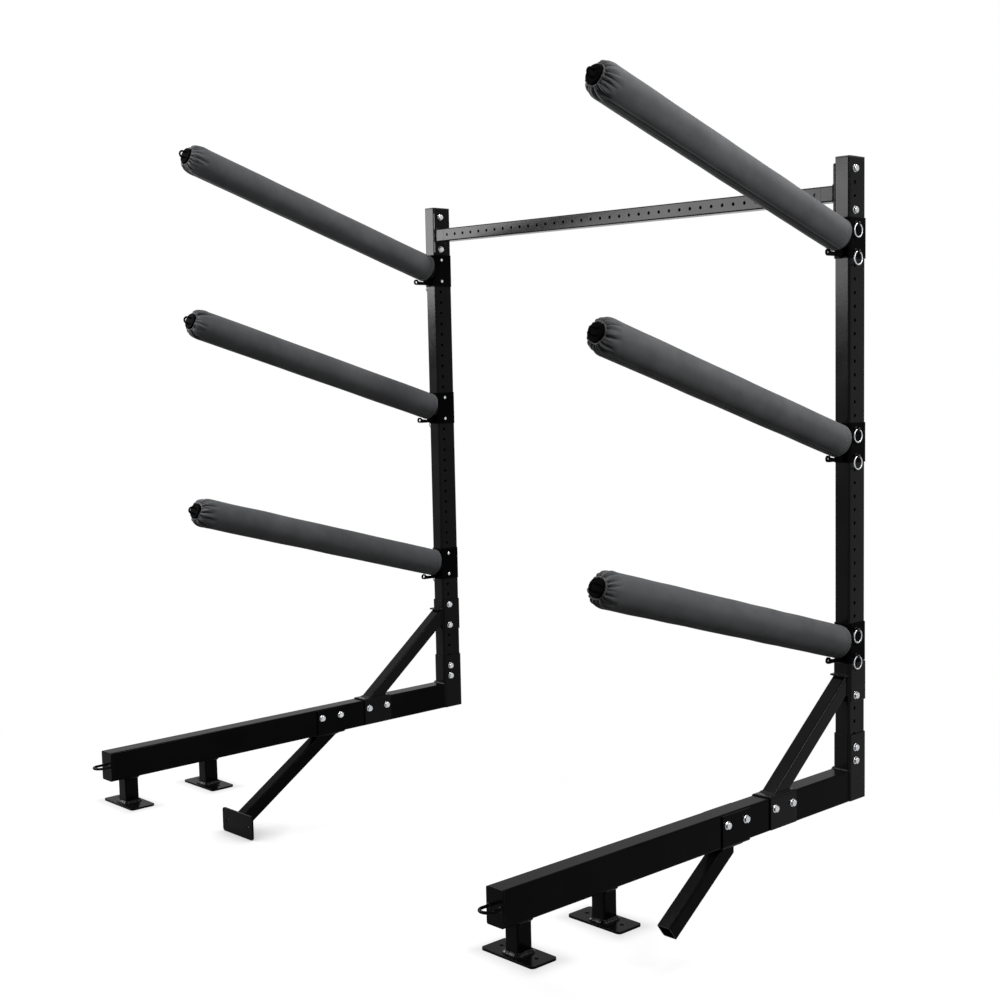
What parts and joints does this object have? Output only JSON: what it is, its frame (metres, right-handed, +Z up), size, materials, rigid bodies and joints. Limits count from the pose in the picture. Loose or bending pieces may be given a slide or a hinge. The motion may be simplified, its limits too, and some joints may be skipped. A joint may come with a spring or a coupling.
{
  "type": "dock kayak rack",
  "caption": "Kayak rack bolted to a dock: punched steel uprights on braced base beams, a punched crossbar, and sloping padded arms held on the uprights by ring pins.",
  "frame": {"origin": "on the deck plane under the base plates, midway between the two frames and midway between the dock-side and water-side posts", "axes": "+Z up, +Y from the dock out over the water, +X to the right frame as seen from the dock"},
  "size_m": [1.983, 1.4592, 2.2499],
  "materials": {
    "black_powder_coat": "satin black powder coat on steel",
    "black_plastic": "moulded, matte",
    "zinc_plate": "bright zinc plate",
    "charcoal_fabric": "woven coated polyester over foam"
  },
  "bodies": {
    "frame": {"base_beam_left": "black_powder_coat", "beam_end_eye_left": "black_powder_coat", "posts_left": "black_powder_coat", "base_plates_left": "black_powder_coat", "socket_sleeve_left": "black_powder_coat", "upright_left": "black_powder_coat", "upright_cap_left": "black_plastic", "upper_brace_left": "black_powder_coat", "lower_brace_left": "black_powder_coat", "crossbar_bracket_left": "black_powder_coat", "bolts_left": "zinc_plate", "base_beam_right": "black_powder_coat", "beam_end_eye_right": "black_powder_coat", "posts_right": "black_powder_coat", "base_plates_right": "black_powder_coat", "socket_sleeve_right": "black_powder_coat", "upright_right": "black_powder_coat", "upright_cap_right": "black_plastic", "upper_brace_right": "black_powder_coat", "lower_brace_right": "black_powder_coat", "crossbar_bracket_right": "black_powder_coat", "bolts_right": "zinc_plate", "dock_side_plate_left": "black_powder_coat", "crossbar": "black_powder_coat"},
    "arm_top_left": {"arm_top_left": "black_powder_coat", "pad_top_left": "charcoal_fabric"},
    "pin_top_left_upper": {"pin_top_left_upper": "zinc_plate"},
    "ring_top_left_upper": {"ring_top_left_upper": "zinc_plate"},
    "pin_top_left_lower": {"pin_top_left_lower": "zinc_plate"},
    "ring_top_left_lower": {"ring_top_left_lower": "zinc_plate"},
    "arm_middle_left": {"arm_middle_left": "black_powder_coat", "pad_middle_left": "charcoal_fabric"},
    "pin_middle_left_upper": {"pin_middle_left_upper": "zinc_plate"},
    "ring_middle_left_upper": {"ring_middle_left_upper": "zinc_plate"},
    "pin_middle_left_lower": {"pin_middle_left_lower": "zinc_plate"},
    "ring_middle_left_lower": {"ring_middle_left_lower": "zinc_plate"},
    "arm_bottom_left": {"arm_bottom_left": "black_powder_coat", "pad_bottom_left": "charcoal_fabric"},
    "pin_bottom_left_upper": {"pin_bottom_left_upper": "zinc_plate"},
    "ring_bottom_left_upper": {"ring_bottom_left_upper": "zinc_plate"},
    "pin_bottom_left_lower": {"pin_bottom_left_lower": "zinc_plate"},
    "ring_bottom_left_lower": {"ring_bottom_left_lower": "zinc_plate"},
    "arm_top_right": {"arm_top_right": "black_powder_coat", "pad_top_right": "charcoal_fabric"},
    "pin_top_right_upper": {"pin_top_right_upper": "zinc_plate"},
    "ring_top_right_upper": {"ring_top_right_upper": "zinc_plate"},
    "pin_top_right_lower": {"pin_top_right_lower": "zinc_plate"},
    "ring_top_right_lower": {"ring_top_right_lower": "zinc_plate"},
    "arm_middle_right": {"arm_middle_right": "black_powder_coat", "pad_middle_right": "charcoal_fabric"},
    "pin_middle_right_upper": {"pin_middle_right_upper": "zinc_plate"},
    "ring_middle_right_upper": {"ring_middle_right_upper": "zinc_plate"},
    "pin_middle_right_lower": {"pin_middle_right_lower": "zinc_plate"},
    "ring_middle_right_lower": {"ring_middle_right_lower": "zinc_plate"},
    "arm_bottom_right": {"arm_bottom_right": "black_powder_coat", "pad_bottom_right": "charcoal_fabric"},
    "pin_bottom_right_upper": {"pin_bottom_right_upper": "zinc_plate"},
    "ring_bottom_right_upper": {"ring_bottom_right_upper": "zinc_plate"},
    "pin_bottom_right_lower": {"pin_bottom_right_lower": "zinc_plate"},
    "ring_bottom_right_lower": {"ring_bottom_right_lower": "zinc_plate"}
  },
  "joints": [
    {"name": "arm_top_left_height", "type": "slide", "parent": "frame", "child": "arm_top_left", "axis": [0, 0, 1], "range_m": [-0.2286, 0]},
    {"name": "pin_top_left_upper_pull", "type": "slide", "parent": "arm_top_left", "child": "pin_top_left_upper", "axis": [-1, 0, 0], "range_m": [0, 0.075]},
    {"name": "ring_top_left_upper_swing", "type": "hinge", "parent": "pin_top_left_upper", "child": "ring_top_left_upper", "pos_m": [-0.9399, 1.1495, 1.7266], "axis": [0, 1, 0], "range_deg": [-8, 150]},
    {"name": "pin_top_left_lower_pull", "type": "slide", "parent": "arm_top_left", "child": "pin_top_left_lower", "axis": [-1, 0, 0], "range_m": [0, 0.075]},
    {"name": "ring_top_left_lower_swing", "type": "hinge", "parent": "pin_top_left_lower", "child": "ring_top_left_lower", "pos_m": [-0.9399, 1.1495, 1.6504], "axis": [0, 1, 0], "range_deg": [-8, 150]},
    {"name": "arm_middle_left_height", "type": "slide", "parent": "frame", "child": "arm_middle_left", "axis": [0, 0, 1], "range_m": [-0.1143, 0.1143]},
    {"name": "pin_middle_left_upper_pull", "type": "slide", "parent": "arm_middle_left", "child": "pin_middle_left_upper", "axis": [-1, 0, 0], "range_m": [0, 0.075]},
    {"name": "ring_middle_left_upper_swing", "type": "hinge", "parent": "pin_middle_left_upper", "child": "ring_middle_left_upper", "pos_m": [-0.9399, 1.1495, 1.2313], "axis": [0, 1, 0], "range_deg": [-8, 150]},
    {"name": "pin_middle_left_lower_pull", "type": "slide", "parent": "arm_middle_left", "child": "pin_middle_left_lower", "axis": [-1, 0, 0], "range_m": [0, 0.075]},
    {"name": "ring_middle_left_lower_swing", "type": "hinge", "parent": "pin_middle_left_lower", "child": "ring_middle_left_lower", "pos_m": [-0.9399, 1.1495, 1.1551], "axis": [0, 1, 0], "range_deg": [-8, 150]},
    {"name": "arm_bottom_left_height", "type": "slide", "parent": "frame", "child": "arm_bottom_left", "axis": [0, 0, 1], "range_m": [-0.0381, 0.1905]},
    {"name": "pin_bottom_left_upper_pull", "type": "slide", "parent": "arm_bottom_left", "child": "pin_bottom_left_upper", "axis": [-1, 0, 0], "range_m": [0, 0.075]},
    {"name": "ring_bottom_left_upper_swing", "type": "hinge", "parent": "pin_bottom_left_upper", "child": "ring_bottom_left_upper", "pos_m": [-0.9399, 1.1495, 0.6598], "axis": [0, 1, 0], "range_deg": [-8, 150]},
    {"name": "pin_bottom_left_lower_pull", "type": "slide", "parent": "arm_bottom_left", "child": "pin_bottom_left_lower", "axis": [-1, 0, 0], "range_m": [0, 0.075]},
    {"name": "ring_bottom_left_lower_swing", "type": "hinge", "parent": "pin_bottom_left_lower", "child": "ring_bottom_left_lower", "pos_m": [-0.9399, 1.1495, 0.5836], "axis": [0, 1, 0], "range_deg": [-8, 150]},
    {"name": "arm_top_right_height", "type": "slide", "parent": "frame", "child": "arm_top_right", "axis": [0, 0, 1], "range_m": [-0.2286, 0]},
    {"name": "pin_top_right_upper_pull", "type": "slide", "parent": "arm_top_right", "child": "pin_top_right_upper", "axis": [1, 0, 0], "range_m": [0, 0.075]},
    {"name": "ring_top_right_upper_swing", "type": "hinge", "parent": "pin_top_right_upper", "child": "ring_top_right_upper", "pos_m": [0.9399, 1.1495, 1.7266], "axis": [0, -1, 0], "range_deg": [-8, 150]},
    {"name": "pin_top_right_lower_pull", "type": "slide", "parent": "arm_top_right", "child": "pin_top_right_lower", "axis": [1, 0, 0], "range_m": [0, 0.075]},
    {"name": "ring_top_right_lower_swing", "type": "hinge", "parent": "pin_top_right_lower", "child": "ring_top_right_lower", "pos_m": [0.9399, 1.1495, 1.6504], "axis": [0, -1, 0], "range_deg": [-8, 150]},
    {"name": "arm_middle_right_height", "type": "slide", "parent": "frame", "child": "arm_middle_right", "axis": [0, 0, 1], "range_m": [-0.1143, 0.1143]},
    {"name": "pin_middle_right_upper_pull", "type": "slide", "parent": "arm_middle_right", "child": "pin_middle_right_upper", "axis": [1, 0, 0], "range_m": [0, 0.075]},
    {"name": "ring_middle_right_upper_swing", "type": "hinge", "parent": "pin_middle_right_upper", "child": "ring_middle_right_upper", "pos_m": [0.9399, 1.1495, 1.1551], "axis": [0, -1, 0], "range_deg": [-8, 150]},
    {"name": "pin_middle_right_lower_pull", "type": "slide", "parent": "arm_middle_right", "child": "pin_middle_right_lower", "axis": [1, 0, 0], "range_m": [0, 0.075]},
    {"name": "ring_middle_right_lower_swing", "type": "hinge", "parent": "pin_middle_right_lower", "child": "ring_middle_right_lower", "pos_m": [0.9399, 1.1495, 1.0789], "axis": [0, -1, 0], "range_deg": [-8, 150]},
    {"name": "arm_bottom_right_height", "type": "slide", "parent": "frame", "child": "arm_bottom_right", "axis": [0, 0, 1], "range_m": [0, 0.2286]},
    {"name": "pin_bottom_right_upper_pull", "type": "slide", "parent": "arm_bottom_right", "child": "pin_bottom_right_upper", "axis": [1, 0, 0], "range_m": [0, 0.075]},
    {"name": "ring_bottom_right_upper_swing", "type": "hinge", "parent": "pin_bottom_right_upper", "child": "ring_bottom_right_upper", "pos_m": [0.9399, 1.1495, 0.5836], "axis": [0, -1, 0], "range_deg": [-8, 150]},
    {"name": "pin_bottom_right_lower_pull", "type": "slide", "parent": "arm_bottom_right", "child": "pin_bottom_right_lower", "axis": [1, 0, 0], "range_m": [0, 0.075]},
    {"name": "ring_bottom_right_lower_swing", "type": "hinge", "parent": "pin_bottom_right_lower", "child": "ring_bottom_right_lower", "pos_m": [0.9399, 1.1495, 0.5074], "axis": [0, -1, 0], "range_deg": [-8, 150]}
  ]
}
